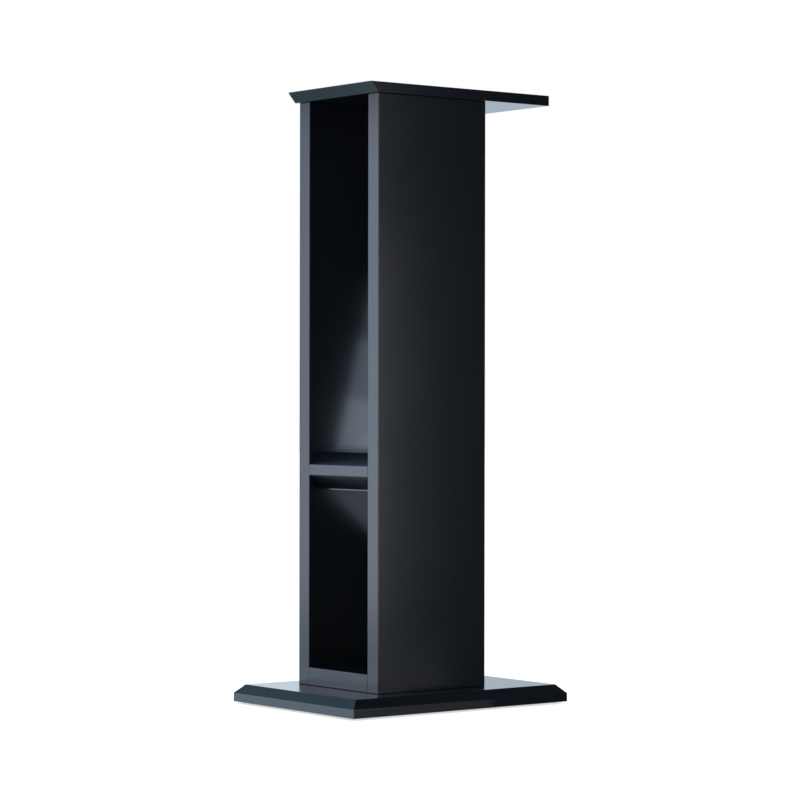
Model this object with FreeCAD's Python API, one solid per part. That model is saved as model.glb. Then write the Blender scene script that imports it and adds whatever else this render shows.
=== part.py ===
"""Speaker stand: an open box column on a chamfered base, under a top plate that reaches past one side.

The frame has +Z up, X across the column and Y along it. The origin is on the floor, under the middle of the
base. The column opens towards -Y and +Y, and the -Y opening is under the bevelled edge of the top plate.
All lengths are in millimetres.
"""
import FreeCAD, Part
import os

V = FreeCAD.Vector

# Overall height, from the floor to the face that carries the speaker.
STAND_HEIGHT = 642.0

# Boards.
BOARD = 18.0                # thickness of the base and the side panels
BOTTOM_BOARD = 18.8         # thickness of the board between the feet of the side panels
TOP_THICKNESS = 10.8        # thickness of the top plate
ARRIS = 0.7                 # rounding of the lacquered board edges

# Column, an open box between the base and the top plate.
COLUMN_WIDTH = 138.0
COLUMN_DEPTH = 140.0

# Base plate, and how far it shows past each side of the column.
BASE_SIDE_MARGIN = 37.0
BASE_OPEN_MARGIN = 58.0     # on the -Y side
BASE_LONG_MARGIN = 82.0     # on the +Y side
BASE_CHAMFER = 9.0          # chamfer round the top of the base, as wide as it is high

# Top plate, and how far its underside shows past each side of the column.
TOP_LIP = 3.5               # on the two sides and the -Y side
TOP_LONG_MARGIN = 84.0      # on the +Y side
TOP_BEVEL = 9.3             # the -Y edge leans out by this much more at the top

# Middle brace. Its -Y and +Y edges are cut back above and below a narrow flat strip.
BRACE_STRIP = 10.6          # height of the flat strip
BRACE_STRIP_Z = 240.5       # height of the lower edge of the strip above the floor
BRACE_UPPER_CUT = 13.5      # height of the slope above the strip, and its depth
BRACE_LOWER_CUT = 14.2      # height of the slope below the strip, and its depth
BRACE_LAND = 1.5            # upright edge left under the lower slope

# Fits, used wherever one piece goes into a hole in another.
FIT = 0.15                  # gap round a dowel or a screw shank, on the radius
END_GAP = 1.0               # free depth left beyond the end of a dowel or a screw

# Beech dowels.
DOWEL_RADIUS = 4.0
DOWEL_LENGTH = 30.0
DOWEL_IN_PANEL = 11.0
DOWEL_FLUTES = 8
DOWEL_FLUTE_DEPTH = 0.5     # of the V grooves that let glue and air out
DOWEL_CHAMFER = 1.0
BRACE_DOWEL_Y = 40.0        # from the middle of the column, both ways
BOTTOM_DOWEL_Y = 24.0

# Countersunk screws.
SCREW_RADIUS = 2.5
SCREW_HEAD_RADIUS = 5.0
SCREW_HEAD_RIM = 0.6        # short upright rim of the head
SCREW_TIP = 5.0             # length of the pointed end
SCREW_SUNK = 0.4            # head below the face of the board
BASE_SCREW_GRIP = 30.0      # reach of a base screw into a side panel
BOARD_SCREW_GRIP = 12.0     # reach of a base screw into the bottom board
TOP_SCREW_GRIP = 28.0       # reach of a top screw into a side panel
SCREW_Y = 50.0              # from the middle of the column, both ways
BOARD_SCREW_Y = 34.0
DRIVE_WIDTH = 1.3           # arm of the cross recess
DRIVE_LENGTH = 5.0
DRIVE_DEPTH = 2.4

# Rubber pads, let into the underside of the base.
PAD_RADIUS = 10.0
PAD_THICKNESS = 3.0
PAD_PROUD = 2.0             # how far the pads hold the base off the floor
PAD_INSET = 26.0            # from the edges of the base to the middle of a pad
PAD_CHAMFER = 0.6           # round its lower rim
PAD_GAP = 0.2               # gap round a pad in its recess

# Sizes that follow from the ones above.
BASE_WIDTH = COLUMN_WIDTH + 2 * BASE_SIDE_MARGIN
BASE_DEPTH = COLUMN_DEPTH + BASE_OPEN_MARGIN + BASE_LONG_MARGIN
COLUMN_Y = (BASE_OPEN_MARGIN - BASE_LONG_MARGIN) / 2
OPEN_Y = COLUMN_Y - COLUMN_DEPTH / 2
LONG_Y = COLUMN_Y + COLUMN_DEPTH / 2
BAY_WIDTH = COLUMN_WIDTH - 2 * BOARD
BASE_Z = PAD_PROUD
COLUMN_Z = BASE_Z + BOARD
TOP_Z = STAND_HEIGHT - TOP_THICKNESS
PANEL_X = (COLUMN_WIDTH - BOARD) / 2
BRACE_BOTTOM_Z = BRACE_STRIP_Z - BRACE_LOWER_CUT - BRACE_LAND
BRACE_TOP_Z = BRACE_STRIP_Z + BRACE_STRIP + BRACE_UPPER_CUT
BRACE_MIDDLE_Z = (BRACE_BOTTOM_Z + BRACE_TOP_Z) / 2
DOWEL_IN_RAIL = DOWEL_LENGTH - DOWEL_IN_PANEL
BOTTOM_MIDDLE_Z = COLUMN_Z + BOTTOM_BOARD / 2

UP = V(0, 0, 1)
DOWN = V(0, 0, -1)


def box(low, high):
    """A board given by its two far corners."""
    return Part.makeBox(high.x - low.x, high.y - low.y, high.z - low.z, low)


def ease(shape, edges, size):
    """Round the given edges, as sanding does before the lacquer goes on."""
    return shape.makeFillet(size, edges)


def drill(shape, mouth, direction, radius, depth):
    """Drill a plain hole into a board."""
    return shape.cut(Part.makeCylinder(radius, depth, mouth, direction))


def turned(points, place, direction):
    """Turn a half outline, given as radius and height, and set its axis along a direction."""
    wire = Part.makePolygon([V(r, 0, h) for r, h in points + points[:1]])
    solid = Part.Face(wire).revolve(V(0, 0, 0), UP, 360)
    solid.Placement = FreeCAD.Placement(place, FreeCAD.Rotation(UP, direction))
    return solid


def cross_edges(board):
    """The edges of a board between the side panels that run from one panel to the other."""
    return [edge for edge in board.Edges if edge.BoundBox.XLength > BAY_WIDTH / 2]


def screw_points(length):
    """Half outline of a screw with its head at the bottom and its point upwards."""
    cone = SCREW_HEAD_RADIUS - SCREW_RADIUS
    return [(0, 0), (SCREW_HEAD_RADIUS, 0), (SCREW_HEAD_RADIUS, SCREW_HEAD_RIM),
            (SCREW_RADIUS, SCREW_HEAD_RIM + cone), (SCREW_RADIUS, length - SCREW_TIP), (0, length)]


def screw(place, direction, length):
    """A countersunk wood screw with a cross recess, placed by the middle of the outer face of its head."""
    body = turned(screw_points(length), place, direction)
    turn = FreeCAD.Rotation(UP, direction)
    reach, half = DRIVE_LENGTH / 2, DRIVE_WIDTH / 2
    for x, y in ((reach, half), (half, reach)):
        arm = box(V(-x, -y, 0), V(x, y, DRIVE_DEPTH))
        arm.Placement = FreeCAD.Placement(place, turn)
        body = body.cut(arm)
    return body


def screws(places, direction, length):
    """Identical screws, each sunk a little below the face that it enters."""
    heads = [place + direction * SCREW_SUNK for place in places.values()]
    return Part.makeCompound([screw(head, direction, length) for head in heads])


def screw_hole(shape, face, direction, length):
    """Drill and countersink a board for a screw. The face point is where the axis enters the board."""
    radius = SCREW_RADIUS + FIT
    rim = SCREW_HEAD_RADIUS + FIT
    cone = rim - radius
    sink = SCREW_SUNK + SCREW_HEAD_RIM
    depth = SCREW_SUNK + length + END_GAP
    points = [(0, 0), (rim, 0), (rim, sink), (radius, sink + cone), (radius, depth), (0, depth)]
    return shape.cut(turned(points, face, direction))


def dowel(end, direction):
    """A fluted dowel with chamfered ends. The end point is the middle of one end."""
    small = DOWEL_RADIUS - DOWEL_CHAMFER
    shoulder = DOWEL_LENGTH - DOWEL_CHAMFER
    points = [(0, 0), (small, 0), (DOWEL_RADIUS, DOWEL_CHAMFER), (DOWEL_RADIUS, shoulder),
              (small, DOWEL_LENGTH), (0, DOWEL_LENGTH)]
    pin = turned(points, V(0, 0, 0), UP)
    deep, out = DOWEL_RADIUS - DOWEL_FLUTE_DEPTH, DOWEL_RADIUS + DOWEL_FLUTE_DEPTH
    corners = [V(deep, 0, 0), V(out, -2 * DOWEL_FLUTE_DEPTH, 0), V(out, 2 * DOWEL_FLUTE_DEPTH, 0)]
    groove = Part.Face(Part.makePolygon(corners + corners[:1])).extrude(UP * DOWEL_LENGTH)
    for _ in range(DOWEL_FLUTES):
        pin = pin.cut(groove)
        groove.rotate(V(0, 0, 0), UP, 360 / DOWEL_FLUTES)
    pin.Placement = FreeCAD.Placement(end, FreeCAD.Rotation(UP, direction))
    return pin


def dowel_at(mouth):
    """The dowel of one hole in a side panel. The mouth is where the hole opens into the bay."""
    outward = V(mouth.x, 0, 0).normalize()
    return dowel(mouth - outward * DOWEL_IN_RAIL, outward)


# Where the fixings go. A side is -1 for the panel on the -X side and +1 for the one on the +X side.
SIDES = {"minus_x": -1, "plus_x": 1}
ENDS = {"minus_y": -1, "plus_y": 1}
base_screw_places = {}
top_screw_places = {}
brace_dowel_places = {}
bottom_dowel_places = {}
pad_places = {}
for side, sx in SIDES.items():
    for end, sy in ENDS.items():
        name = side + "_" + end
        base_screw_places[name] = V(sx * PANEL_X, COLUMN_Y + sy * SCREW_Y, BASE_Z)
        top_screw_places[name] = V(sx * PANEL_X, COLUMN_Y + sy * SCREW_Y, STAND_HEIGHT)
        brace_dowel_places[name] = V(sx * BAY_WIDTH / 2, COLUMN_Y + sy * BRACE_DOWEL_Y, BRACE_MIDDLE_Z)
        bottom_dowel_places[name] = V(sx * BAY_WIDTH / 2, COLUMN_Y + sy * BOTTOM_DOWEL_Y, BOTTOM_MIDDLE_Z)
        pad_places[name] = V(sx * (BASE_WIDTH / 2 - PAD_INSET), sy * (BASE_DEPTH / 2 - PAD_INSET), 0)
board_screw_places = {end: V(0, COLUMN_Y + sy * BOARD_SCREW_Y, BASE_Z) for end, sy in ENDS.items()}

PANEL_SCREW_LENGTH = BOARD - SCREW_SUNK + BASE_SCREW_GRIP
BOARD_SCREW_LENGTH = BOARD - SCREW_SUNK + BOARD_SCREW_GRIP
TOP_SCREW_LENGTH = TOP_THICKNESS - SCREW_SUNK + TOP_SCREW_GRIP


def base_plate():
    """The base: a board chamfered round its top edge, with pad recesses and screw holes underneath."""
    w, d = BASE_WIDTH / 2, BASE_DEPTH / 2
    plate = box(V(-w, -d, BASE_Z), V(w, d, BASE_Z + BOARD))
    top_edges = [e for e in plate.Edges if e.BoundBox.ZMin > BASE_Z + BOARD / 2]
    plate = plate.makeChamfer(BASE_CHAMFER, top_edges)
    plate = ease(plate, plate.Edges, ARRIS)
    for place in pad_places.values():
        mouth = V(place.x, place.y, BASE_Z)
        plate = drill(plate, mouth, UP, PAD_RADIUS + PAD_GAP, PAD_THICKNESS - PAD_PROUD)
    for place in base_screw_places.values():
        plate = screw_hole(plate, place, UP, PANEL_SCREW_LENGTH)
    for place in board_screw_places.values():
        plate = screw_hole(plate, place, UP, BOARD_SCREW_LENGTH)
    return plate


def side_panel(side):
    """A side of the column, with blind holes for the dowels and screw holes in its ends."""
    sx = SIDES[side]
    x = sx * PANEL_X
    panel = box(V(x - BOARD / 2, OPEN_Y, COLUMN_Z), V(x + BOARD / 2, LONG_Y, TOP_Z))
    panel = ease(panel, panel.Edges, ARRIS)
    outward = V(sx, 0, 0)
    for end in ENDS:
        name = side + "_" + end
        for place in (brace_dowel_places[name], bottom_dowel_places[name]):
            panel = drill(panel, place, outward, DOWEL_RADIUS + FIT, DOWEL_IN_PANEL + END_GAP)
        panel = screw_hole(panel, base_screw_places[name], UP, PANEL_SCREW_LENGTH)
        panel = screw_hole(panel, top_screw_places[name], DOWN, TOP_SCREW_LENGTH)
    return panel


def bottom_board():
    """The floor of the lower bay, set between the side panels."""
    half = BAY_WIDTH / 2
    board = box(V(-half, OPEN_Y, COLUMN_Z), V(half, LONG_Y, COLUMN_Z + BOTTOM_BOARD))
    board = ease(board, cross_edges(board), ARRIS)
    for name, place in bottom_dowel_places.items():
        inward = V(-place.x, 0, 0).normalize()
        board = drill(board, place, inward, DOWEL_RADIUS + FIT, DOWEL_IN_RAIL + END_GAP)
    for place in board_screw_places.values():
        board = screw_hole(board, place, UP, BOARD_SCREW_LENGTH)
    return board


def middle_brace():
    """The brace that divides the column into two bays. Both of its showing edges have the same outline."""
    low_back = OPEN_Y + BRACE_LOWER_CUT
    high_back = OPEN_Y + BRACE_UPPER_CUT
    strip_top = BRACE_STRIP_Z + BRACE_STRIP
    near = [(low_back, BRACE_BOTTOM_Z), (low_back, BRACE_BOTTOM_Z + BRACE_LAND), (OPEN_Y, BRACE_STRIP_Z),
            (OPEN_Y, strip_top), (high_back, BRACE_TOP_Z)]
    far = [(2 * COLUMN_Y - y, z) for y, z in reversed(near)]
    points = [V(-BAY_WIDTH / 2, y, z) for y, z in near + far]
    brace = Part.Face(Part.makePolygon(points + points[:1])).extrude(V(BAY_WIDTH, 0, 0))
    brace = ease(brace, cross_edges(brace), ARRIS / 2)
    for place in brace_dowel_places.values():
        inward = V(-place.x, 0, 0).normalize()
        brace = drill(brace, place, inward, DOWEL_RADIUS + FIT, DOWEL_IN_RAIL + END_GAP)
    return brace


def top_plate():
    """The plate that carries the speaker. Its -Y edge leans out, and its +Y end reaches over the base."""
    near = OPEN_Y - TOP_LIP
    far = LONG_Y + TOP_LONG_MARGIN
    half = COLUMN_WIDTH / 2 + TOP_LIP
    outline = [V(-half, near, TOP_Z), V(-half, far, TOP_Z), V(-half, far, STAND_HEIGHT),
               V(-half, near - TOP_BEVEL, STAND_HEIGHT)]
    plate = Part.Face(Part.makePolygon(outline + outline[:1])).extrude(V(2 * half, 0, 0))
    plate = ease(plate, plate.Edges, ARRIS / 2)
    for place in top_screw_places.values():
        plate = screw_hole(plate, place, DOWN, TOP_SCREW_LENGTH)
    return plate


def pad(place):
    """A round rubber pad with a chamfered lower rim."""
    small = PAD_RADIUS - PAD_CHAMFER
    top = PAD_THICKNESS
    return turned([(0, 0), (small, 0), (PAD_RADIUS, PAD_CHAMFER), (PAD_RADIUS, top), (0, top)], place, UP)


nodes = {
    "base_plate": base_plate(),
    "side_panel_minus_x": side_panel("minus_x"),
    "side_panel_plus_x": side_panel("plus_x"),
    "bottom_board": bottom_board(),
    "middle_brace": middle_brace(),
    "top_plate": top_plate(),
}
nodes["brace_dowels"] = Part.makeCompound([dowel_at(place) for place in brace_dowel_places.values()])
nodes["bottom_dowels"] = Part.makeCompound([dowel_at(place) for place in bottom_dowel_places.values()])
nodes["base_screws"] = screws(base_screw_places, UP, PANEL_SCREW_LENGTH)
nodes["board_screws"] = screws(board_screw_places, UP, BOARD_SCREW_LENGTH)
nodes["top_screws"] = screws(top_screw_places, DOWN, TOP_SCREW_LENGTH)
for name, place in pad_places.items():
    nodes["pad_" + name] = pad(place)

os.makedirs("parts", exist_ok=True)
for name, shape in nodes.items():
    shape.exportStep("parts/" + name + ".step")
    extent = shape.BoundBox
    lengths = [round(length, 1) for length in (extent.XLength, extent.YLength, extent.ZLength)]
    print(name, "valid" if shape.isValid() else "NOT VALID", len(shape.Solids), "solids, mm:", lengths)
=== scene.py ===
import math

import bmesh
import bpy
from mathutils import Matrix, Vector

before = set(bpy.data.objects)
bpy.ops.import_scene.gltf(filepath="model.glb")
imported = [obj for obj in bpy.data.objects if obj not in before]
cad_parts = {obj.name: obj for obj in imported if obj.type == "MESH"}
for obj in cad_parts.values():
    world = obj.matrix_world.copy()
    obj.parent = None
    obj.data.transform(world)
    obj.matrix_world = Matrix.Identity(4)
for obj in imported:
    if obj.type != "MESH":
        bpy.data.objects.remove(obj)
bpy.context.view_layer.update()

# %% [markdown]
# # A black lacquered speaker stand
# The boards, screws, dowels and pads come from the CAD model and keep their shapes. This script gives
# them their finishes, builds a small studio round them and sets the camera where the photographer's
# stood. A black gloss surface shows hardly any colour of its own. Nearly all that the eye sees of it is a
# reflection, so the studio round the stand matters as much as the paint, and most of the lesson is about
# the two together.

MM = 0.001
scene = bpy.context.scene
print("pieces:", ", ".join(sorted(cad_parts)))

# %% [markdown]
# ## Colours and nodes
# Paint charts and screens give a colour as sRGB hex, and shaders work in linear light. One function turns
# the first into the second, and every colour below goes through it, so a hex value can be read straight
# off a chart. A second function adds one shader node with its settings and links, which keeps each
# material a few lines long.

# %% Hex to linear, and a node in one line
WHITE = "ffffff"
FULL_BYTE = 255
# The sRGB curve: a straight part near black, then a power with an offset.
STRAIGHT_END = 0.04045
STRAIGHT_SLOPE = 12.92
CURVE_OFFSET = 0.055
CURVE_POWER = 2.4


def linear_light(level):
    """Linear light from an sRGB level of 0 to 1."""
    if level <= STRAIGHT_END:
        return level / STRAIGHT_SLOPE
    return ((level + CURVE_OFFSET) / (1 + CURVE_OFFSET)) ** CURVE_POWER


def colour(hex_code):
    """Linear RGBA of an sRGB hex colour."""
    red, green, blue = (linear_light(byte / FULL_BYTE) for byte in bytes.fromhex(hex_code))
    return (red, green, blue, 1.0)


def add_node(tree, kind, settings=None, links=None):
    """Adds a node, sets its properties or sockets by name, and links sockets given as name: output."""
    node = tree.nodes.new(kind)
    for name, value in (settings or {}).items():
        if hasattr(node, name):
            setattr(node, name, value)
        else:
            node.inputs[name].default_value = value
    for name, output in (links or {}).items():
        tree.links.new(output, node.inputs[name])
    return node


print("white card #f2f2f2 is", round(colour("f2f2f2")[0], 3), "in linear light")

# %% [markdown]
# ## What every finish starts from
# A finish starts from Blender's Principled shader, and what is the same all over the surface is set on
# the shader's own sockets. What varies over the surface is driven by noise: the colour through a ramp,
# the gloss through a range, and the relief of the skin through a bump of a true height.

# %% Start a finish, and give a ramp its colours
def finish(name, settings):
    """A material with one Principled shader, its plain sockets set. Returns material, tree and shader."""
    material = bpy.data.materials.new(name)
    material.use_nodes = True
    shader = material.node_tree.nodes["Principled BSDF"]
    for socket, value in settings.items():
        shader.inputs[socket].default_value = value
    print("finish:", name)
    return material, material.node_tree, shader


def give_stops(ramp, stops):
    """Gives a colour ramp its stops, as (place from 0 to 1, hex colour) pairs."""
    elements = ramp.color_ramp.elements
    while len(elements) < len(stops):
        elements.new(1.0)
    for element, (position, hex_code) in zip(elements, stops):
        element.position = position
        element.color = colour(hex_code)
    print("stops:", ", ".join(hex_code for position, hex_code in stops))


# %% [markdown]
# ## Black lacquer
# The boards are fibreboard, sprayed with a satin black lacquer that was then rubbed down and polished.
# The black gives almost no light back, so the shine does the work. A roughness of 0.2 turns a mirrored
# lamp into a soft-edged patch, and the plain refractive index of 1.5 makes the same board dark when it is
# seen straight on and bright as a mirror when it is seen nearly edge on, as the top of the base is here.
# Sprayed paint is never quite flat. Its skin has low waves a few millimetres wide, known as orange peel,
# some patches dry a little duller than others, and the sanded board under it leaves faint lines along its
# length. All three are drawn with noise on Object coordinates, so they stay put when the board is seen
# from another side. The real sanding lines are 0.1 mm apart, too fine for a render of this size, so they
# are drawn 1.5 mm apart. The boards lie in three directions, and each has its lines along its own length,
# so there are three lacquers.

# %% Satin black lacquer, once for each direction of the board
ORANGE_PEEL = 4 * MM
ORANGE_PEEL_HEIGHT = 0.01 * MM
DRY_PATCH = 60 * MM
SANDING_LINES = 1.5 * MM
LINE_STRETCH = 60
DULLEST = 0.21
GLOSSIEST = 0.19


def black_lacquer(name, length_axis):
    """Sprayed black lacquer over a board whose length lies along axis 0, 1 or 2 (X, Y or Z)."""
    material, tree, shader = finish(name, {"IOR": 1.5})
    place = add_node(tree, "ShaderNodeTexCoord").outputs["Object"]
    stretch = [1 / LINE_STRETCH if axis == length_axis else 1 for axis in range(3)]
    along = add_node(tree, "ShaderNodeMapping", {"Scale": stretch}, {"Vector": place})
    lines = add_node(tree, "ShaderNodeTexNoise", {"Scale": 1 / SANDING_LINES, "Detail": 2.0},
                     {"Vector": along.outputs["Vector"]})
    black = add_node(tree, "ShaderNodeValToRGB", {}, {"Fac": lines.outputs["Fac"]})
    give_stops(black, [(0.3, "060c12"), (0.7, "0a1118")])
    patches = add_node(tree, "ShaderNodeTexNoise", {"Scale": 1 / DRY_PATCH, "Detail": 1.0},
                       {"Vector": place})
    gloss = add_node(tree, "ShaderNodeMapRange", {"To Min": GLOSSIEST, "To Max": DULLEST},
                     {"Value": patches.outputs["Fac"]})
    peel = add_node(tree, "ShaderNodeTexNoise", {"Scale": 1 / ORANGE_PEEL, "Detail": 1.0},
                    {"Vector": place})
    skin = add_node(tree, "ShaderNodeBump", {"Distance": ORANGE_PEEL_HEIGHT},
                    {"Height": peel.outputs["Fac"]})
    tree.links.new(black.outputs["Color"], shader.inputs["Base Color"])
    tree.links.new(gloss.outputs["Result"], shader.inputs["Roughness"])
    tree.links.new(skin.outputs["Normal"], shader.inputs["Normal"])
    return material


lacquer_across = black_lacquer("sprayed_satin_black_lacquer_across", 0)
lacquer_flat = black_lacquer("sprayed_satin_black_lacquer_flat", 1)
lacquer_upright = black_lacquer("sprayed_satin_black_lacquer_upright", 2)

# %% [markdown]
# ## Beech dowels
# Dowels are turned from beech, a pale pinkish wood with straight grain. Inside the joint nobody sees
# them, but a buyer who takes the stand apart does. The grain is noise pulled out along the dowel, which
# lies across the stand.

# %% Beech
GRAIN_WIDTH = 0.5 * MM
GRAIN_HEIGHT = 0.02 * MM
GRAIN_STRETCH = 20

beech, tree, shader = finish("turned_beech", {"Roughness": 0.6, "IOR": 1.5})
place = add_node(tree, "ShaderNodeTexCoord").outputs["Object"]
along = add_node(tree, "ShaderNodeMapping", {"Scale": (1 / GRAIN_STRETCH, 1, 1)}, {"Vector": place})
grain = add_node(tree, "ShaderNodeTexNoise", {"Scale": 1 / GRAIN_WIDTH, "Detail": 3.0},
                 {"Vector": along.outputs["Vector"]})
wood = add_node(tree, "ShaderNodeValToRGB", {}, {"Fac": grain.outputs["Fac"]})
give_stops(wood, [(0.3, "b98c5e"), (0.5, "cfa577"), (0.7, "dbb58a")])
skin = add_node(tree, "ShaderNodeBump", {"Distance": GRAIN_HEIGHT}, {"Height": grain.outputs["Fac"]})
tree.links.new(wood.outputs["Color"], shader.inputs["Base Color"])
tree.links.new(skin.outputs["Normal"], shader.inputs["Normal"])

# %% [markdown]
# ## Zinc-plated steel screws
# Cheap wood screws are steel with a thin coat of zinc and a bluish passivation. The plating is a bright
# metal with a slightly cloudy shine, so its roughness wanders a little instead of its colour.

# %% Zinc plate
CLOUD_WIDTH = 1.5 * MM
CLEAR_ZINC = 0.22
CLOUDY_ZINC = 0.42

zinc, tree, shader = finish("zinc_plated_steel", {"Base Color": colour("c6cbd2"), "Metallic": 1.0})
place = add_node(tree, "ShaderNodeTexCoord").outputs["Object"]
clouds = add_node(tree, "ShaderNodeTexNoise", {"Scale": 1 / CLOUD_WIDTH, "Detail": 3.0}, {"Vector": place})
gloss = add_node(tree, "ShaderNodeMapRange", {"To Min": CLEAR_ZINC, "To Max": CLOUDY_ZINC},
                 {"Value": clouds.outputs["Fac"]})
tree.links.new(gloss.outputs["Result"], shader.inputs["Roughness"])

# %% [markdown]
# ## Black rubber pads
# The pads are stamped from sheet rubber, dull and a little dusty. A fine grain breaks up what shine there
# is.

# %% Rubber
RUBBER_GRAIN = 0.6 * MM
RUBBER_GRAIN_HEIGHT = 0.03 * MM

rubber, tree, shader = finish("stamped_black_rubber", {"Roughness": 0.8, "IOR": 1.52})
place = add_node(tree, "ShaderNodeTexCoord").outputs["Object"]
grain = add_node(tree, "ShaderNodeTexNoise", {"Scale": 1 / RUBBER_GRAIN, "Detail": 2.0}, {"Vector": place})
dusty = add_node(tree, "ShaderNodeValToRGB", {}, {"Fac": grain.outputs["Fac"]})
give_stops(dusty, [(0.3, "161616"), (0.7, "232323")])
skin = add_node(tree, "ShaderNodeBump", {"Distance": RUBBER_GRAIN_HEIGHT}, {"Height": grain.outputs["Fac"]})
tree.links.new(dusty.outputs["Color"], shader.inputs["Base Color"])
tree.links.new(skin.outputs["Normal"], shader.inputs["Normal"])

# %% [markdown]
# ## Dressing the pieces
# Each piece of the CAD model is named for what it is, so a word in the name says which finish it takes.
# The table is read from the top, and the first word found decides. The old materials are cleared first,
# which leaves one finish on each piece.

# %% A finish for every piece
FINISH_BY_WORD = {
    "dowels": beech,
    "screws": zinc,
    "pad": rubber,
    "side_panel": lacquer_upright,
    "brace": lacquer_across,
    "bottom_board": lacquer_across,
    "plate": lacquer_flat,
}

for name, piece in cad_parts.items():
    chosen = next(made for word, made in FINISH_BY_WORD.items() if word in name)
    piece.data.materials.clear()
    piece.data.materials.append(chosen)
    print(f"{name}: {chosen.name}")

# %% [markdown]
# ## The room
# The photograph has no visible room: the background is plain white. Here the world is white to the camera
# and to reflections, and about half as bright as a source of light, because a black object in an
# all-white room would look grey.

# %% Seen or lit: one switch for the floor and the world
def seen_directly(tree):
    """An output: 1 for camera, glossy and transmission rays, and 0 for rays that only carry light."""
    path = add_node(tree, "ShaderNodeLightPath").outputs
    either = add_node(tree, "ShaderNodeMath", {"operation": "MAXIMUM"})
    tree.links.new(path["Is Camera Ray"], either.inputs[0])
    tree.links.new(path["Is Glossy Ray"], either.inputs[1])
    seen = add_node(tree, "ShaderNodeMath", {"operation": "MAXIMUM"})
    tree.links.new(either.outputs[0], seen.inputs[0])
    tree.links.new(path["Is Transmission Ray"], seen.inputs[1])
    return seen.outputs[0]


WORLD_LIGHT = 0.55

world = bpy.data.worlds.new("white_room")
world.use_nodes = True
scene.world = world
room = world.node_tree.nodes["Background"]
room.inputs["Color"].default_value = colour(WHITE)
level = add_node(world.node_tree, "ShaderNodeMapRange", {"To Min": WORLD_LIGHT, "To Max": 1.0},
                 {"Value": seen_directly(world.node_tree)})
world.node_tree.links.new(level.outputs["Result"], room.inputs["Strength"])
print("world:", world.name, "lights at", WORLD_LIGHT)

# %% [markdown]
# ## The floor
# A white painted floor, far wider than the picture shows. The paint is matt, so the stand isn't mirrored
# in it. Part of its white is its own light, seen directly only, which keeps it from turning grey under
# the soft lamps while the stand's shadow still shows.

# %% White floor
FLOOR_LIFT = 0.6
FLOOR_SIDE = 24
UP = (0, 0, 1)
# The size of a grid is half its side, so this one starts a metre wide.
HALF_METRE = 0.5


def card(name, centre, facing, width, height, material, turn=0):
    """A flat rectangle of the studio, such as the floor. It turns in its own plane by some degrees."""
    sheet = bmesh.new()
    bmesh.ops.create_grid(sheet, x_segments=1, y_segments=1, size=HALF_METRE)
    bmesh.ops.scale(sheet, vec=(width, height, 1), verts=sheet.verts)
    mesh = bpy.data.meshes.new(name)
    sheet.to_mesh(mesh)
    sheet.free()
    mesh.materials.append(material)
    placed = bpy.data.objects.new(name, mesh)
    scene.collection.objects.link(placed)
    placed.location = centre
    placed.rotation_euler = Vector(facing).to_track_quat("Z", "Y").to_euler()
    placed.rotation_euler.rotate_axis("Z", math.radians(turn))
    print(f"{name}: {width} x {height} m")
    return placed


paint, tree, shader = finish("white_floor_paint", {"Base Color": colour("f4f4f4"), "Roughness": 0.9})
shader.inputs["Emission Color"].default_value = colour(WHITE)
lift = add_node(tree, "ShaderNodeMapRange", {"To Min": 0.0, "To Max": FLOOR_LIFT},
                {"Value": seen_directly(tree)})
tree.links.new(lift.outputs["Result"], shader.inputs["Emission Strength"])
card("floor", (0, 0, 0), UP, FLOOR_SIDE, FLOOR_SIDE, paint)

# %% [markdown]
# ## Cards for the reflections
# Photographers light black gloss with what it mirrors. A dark card makes a face read as black, a pale one
# draws its edge, and a board laid on the floor colours the lowest faces. In a white room every face of
# the stand would mirror white, so each face gets its card here. The cards are seen only by reflections:
# they cast no shadow, add no light to matt things and stay out of the picture. Where a card has to stand
# follows from the law of reflection. The camera looks down on the base by about 6 degrees, so the base's
# top mirrors what stands far behind it, its upright edges mirror the floor close by, and its sloped edges
# mirror what is high up at the sides.

# %% Cards
# Heights of the cards on the floor: where two overlap, the upper one is seen.
FLOOR_CARD = 1 * MM
UPPER_FLOOR_CARD = 1.5 * MM
NEAR_FLOOR_CARD = 1.8 * MM


def reflected_card(name, centre, facing, width, height, hex_code, strength, turn):
    """A card of one colour that only reflections show. Strength 1 is that colour. More is a lit card."""
    material = bpy.data.materials.new(name)
    material.use_nodes = True
    tree = material.node_tree
    glow = add_node(tree, "ShaderNodeEmission", {"Color": colour(hex_code), "Strength": strength})
    tree.links.new(glow.outputs["Emission"], tree.nodes["Material Output"].inputs["Surface"])
    placed = card(name, centre, facing, width, height, material, turn)
    placed.visible_camera = False
    placed.visible_diffuse = False
    placed.visible_transmission = False
    placed.visible_shadow = False


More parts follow.
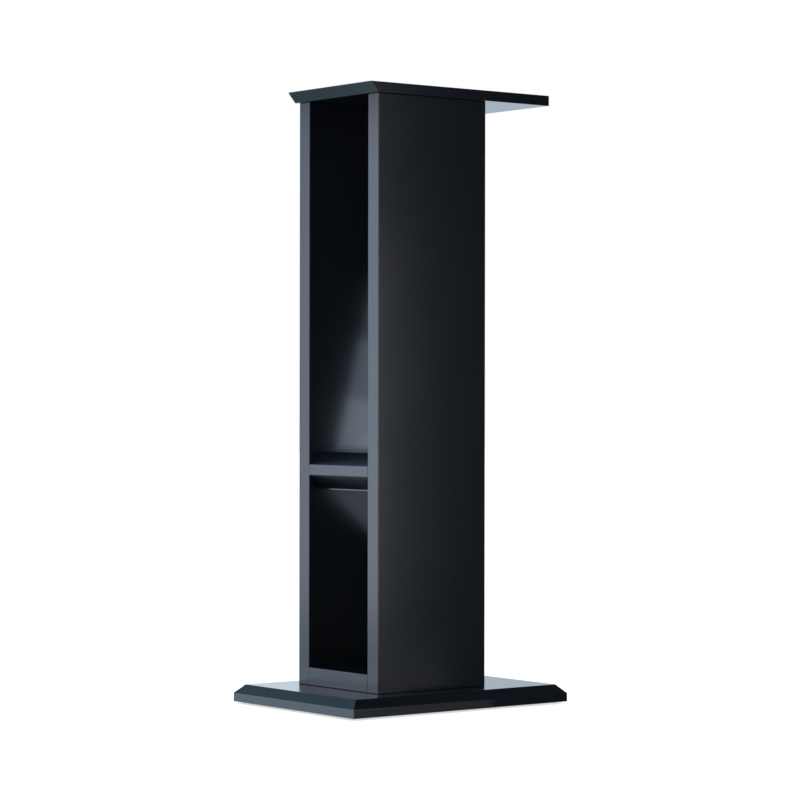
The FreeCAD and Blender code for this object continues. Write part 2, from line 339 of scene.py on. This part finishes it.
# Name, centre, facing, width and height in metres, colour, strength, turn in degrees.
CARDS = [
    # For the broad side panel, the sloped edge below it and the side of the top plate.
    ("dark_right_back", (0.45, 0.95, 0.9), (-0.6, -0.8, 0), 1.3, 1.8, "2c3238", 1, 0),
    ("black_overhead_back", (0.1, 1.1, 1.9), (-0.1, -0.5, -0.85), 1.8, 1.6, "080a0c", 1, 0),
    ("dark_floor_right", (0.71, 0.35, FLOOR_CARD), UP, 1.2, 1.2, "30363c", 1, 0),
    ("grey_floor_right", (0.379, 0.081, UPPER_FLOOR_CARD), UP, 0.8, 0.267, "94959a", 1, 37.5),
    # For the faces at the front.
    ("blue_left_high", (-1.0, -0.2, 1.0), (0.78, 0, -0.62), 1.4, 1.2, "90b4cc", 1, 0),
    ("blue_floor_left", (-0.85, -0.1, FLOOR_CARD), UP, 0.9, 1.2, "90b0bc", 1, 0),
    ("lit_floor_front", (-0.1, -0.225, NEAR_FLOOR_CARD), UP, 0.5, 0.17, "c8e1f9", 2.4, 0),
    ("lit_floor_foot", (-0.62, -0.5, UPPER_FLOOR_CARD), UP, 0.32, 0.32, "c8e1f9", 2.4, 0),
    # For the top of the base and the underside of the top plate, both seen nearly edge on.
    ("lit_far_left", (-1.957, 0.998, 0.9), (0.793, -0.609, 0), 0.8, 2.4, "e5f4ff", 1.5, 0),
    ("lit_far_right", (-1.439, 1.672, 0.9), (0.793, -0.609, 0), 0.9, 2.4, "dcf0ff", 1.1, 0),
]

for row in CARDS:
    reflected_card(*row)

# %% [markdown]
# ## Lamps
# The key lamp is a tall softbox at the front, on the left. It stands where the narrow front edges of the
# side panels mirror it into the camera, and a little too far to one side, so that the right-hand edge
# catches more of it than the left one. A second softbox on the right gives the broad side its glow near
# the corner, which fades towards the back because the lamp's own edge passes there. A lamp overhead keeps
# a soft shadow under the base.

# %% Softboxes
def softbox(name, centre, aim, width, height, radiance, hex_code=WHITE, lean=0):
    """An area lamp at a place, aimed at another. Radiance 1 is white, and lean is in degrees."""
    lamp = bpy.data.lights.new(name, "AREA")
    lamp.shape = "RECTANGLE"
    lamp.size = width
    lamp.size_y = height
    lamp.energy = radiance * math.pi * width * height
    lamp.color = colour(hex_code)[:3]
    placed = bpy.data.objects.new(name, lamp)
    scene.collection.objects.link(placed)
    placed.location = centre
    placed.rotation_euler = (Vector(aim) - Vector(centre)).to_track_quat("-Z", "Y").to_euler()
    placed.rotation_euler.rotate_axis("Z", math.radians(lean))
    placed.visible_camera = False
    print(f"{name}: {lamp.energy:.2f} W")
    return placed


def compass(azimuth, distance, height):
    """A place round the stand. Azimuth 0 is towards -Y, the front, and 90 towards +X."""
    angle = math.radians(azimuth)
    return (math.sin(angle) * distance, -math.cos(angle) * distance, height)


KEY_HEIGHT = 0.38
FILL_HEIGHT = 0.23
TOP_HEIGHT = 2.4
softbox("key", compass(azimuth=-43, distance=1.26, height=KEY_HEIGHT), (0, 0, KEY_HEIGHT),
        width=0.5, height=0.74, radiance=2.65, hex_code="c8dcff")
softbox("fill_right", (0.78, 0.05, FILL_HEIGHT), (0, 0.05, FILL_HEIGHT),
        width=0.7, height=0.6, radiance=2.2, hex_code="f6f9ff")
softbox("top", (0, 0, TOP_HEIGHT), (0, 0, 0), width=1.2, height=1.2, radiance=1.2)

# %% [markdown]
# ## A wedge of light
# The photograph shows a wedge of light on the inside of the far side panel, steep above the brace and
# flat below it. Four small lamps between the panels make it, each a stripe of the wedge as the camera
# sees it mirrored. They overlap towards the brace, so the wedge grows brighter there. Light linking keeps
# them off the other boards, as black flags would in a studio. A mirror turns the camera's line of sight
# to the other side of its normal, at the same angle, so each lamp stands a hand's width from its stripe
# along the turned line.

# %% Four lamps between the panels
# How far round the stand the camera is, from the front towards the right-hand side.
VIEW_AZIMUTH = math.radians(52.465)
PANEL_FACE_X = -51 * MM
LAMP_GAP = 80 * MM
STEEP = -11.6
FLAT = 45
# Where each stripe is on the panel: its middle along Y, its height, width and length in mm, lean, radiance.
WEDGE = [
    (13, 335, 67, 224, STEEP, 1.2),
    (7, 303, 72, 157, STEEP, 1.3),
    (0, 271, 74, 90, STEEP, 1.5),
    (-3, 229, 78, 78, FLAT, 1.4),
]

panel_only = bpy.data.collections.new("lit_by_wedge_lamps")
panel_only.objects.link(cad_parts["side_panel_minus_x"])
brace_only = bpy.data.collections.new("shading_wedge_lamps")
brace_only.objects.link(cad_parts["middle_brace"])
mirrored = Vector((math.sin(VIEW_AZIMUTH), math.cos(VIEW_AZIMUTH), 0))
for number, (middle, height, width, length, lean, radiance) in enumerate(WEDGE):
    stripe = Vector((PANEL_FACE_X, middle * MM, height * MM))
    lamp = softbox(f"wedge_{number}", stripe + mirrored * LAMP_GAP, stripe,
                   width * MM, length * MM, radiance, "d4e4fa", lean)
    lamp.light_linking.receiver_collection = panel_only
    lamp.light_linking.blocker_collection = brace_only

# %% [markdown]
# ## Camera
# The camera's place was worked out from the edges in the photograph: the slant of the base's edges gives
# the angle round the stand, how fast they draw together gives the distance, and the height where level
# edges run level gives the height of the lens. Sizes on the picture then fix the focal length. It is a
# long one, as product photographs mostly use, which is why the upright edges stay nearly parallel. The
# distance, focal length and heights below come from that fit, and so does the angle named with the wedge.

# %% Camera
PICTURE_PIXELS = 800
FOCAL_PIXELS = 2861
SENSOR = 36
DISTANCE = 3.001
SIDESTEP = 8.53 * MM
LENS_HEIGHT = 318.9 * MM
COLUMN_Y = -12 * MM
LEVEL = math.radians(90)
ROLL = math.radians(-0.086)
FAR_CLIP = 100

back = Vector((math.sin(VIEW_AZIMUTH), -math.cos(VIEW_AZIMUTH), 0))
right = Vector((math.cos(VIEW_AZIMUTH), math.sin(VIEW_AZIMUTH), 0))
camera = bpy.data.cameras.new("camera")
camera.sensor_width = SENSOR
camera.lens = FOCAL_PIXELS / PICTURE_PIXELS * SENSOR
camera.clip_end = FAR_CLIP
tripod = bpy.data.objects.new("camera", camera)
scene.collection.objects.link(tripod)
tripod.location = back * DISTANCE + right * SIDESTEP + Vector((0, COLUMN_Y, LENS_HEIGHT))
tripod.rotation_euler = (LEVEL, ROLL, VIEW_AZIMUTH)
scene.camera = tripod
scene.view_settings.view_transform = "Standard"
print(f"lens: {camera.lens:.1f} mm on a {SENSOR} mm sensor")
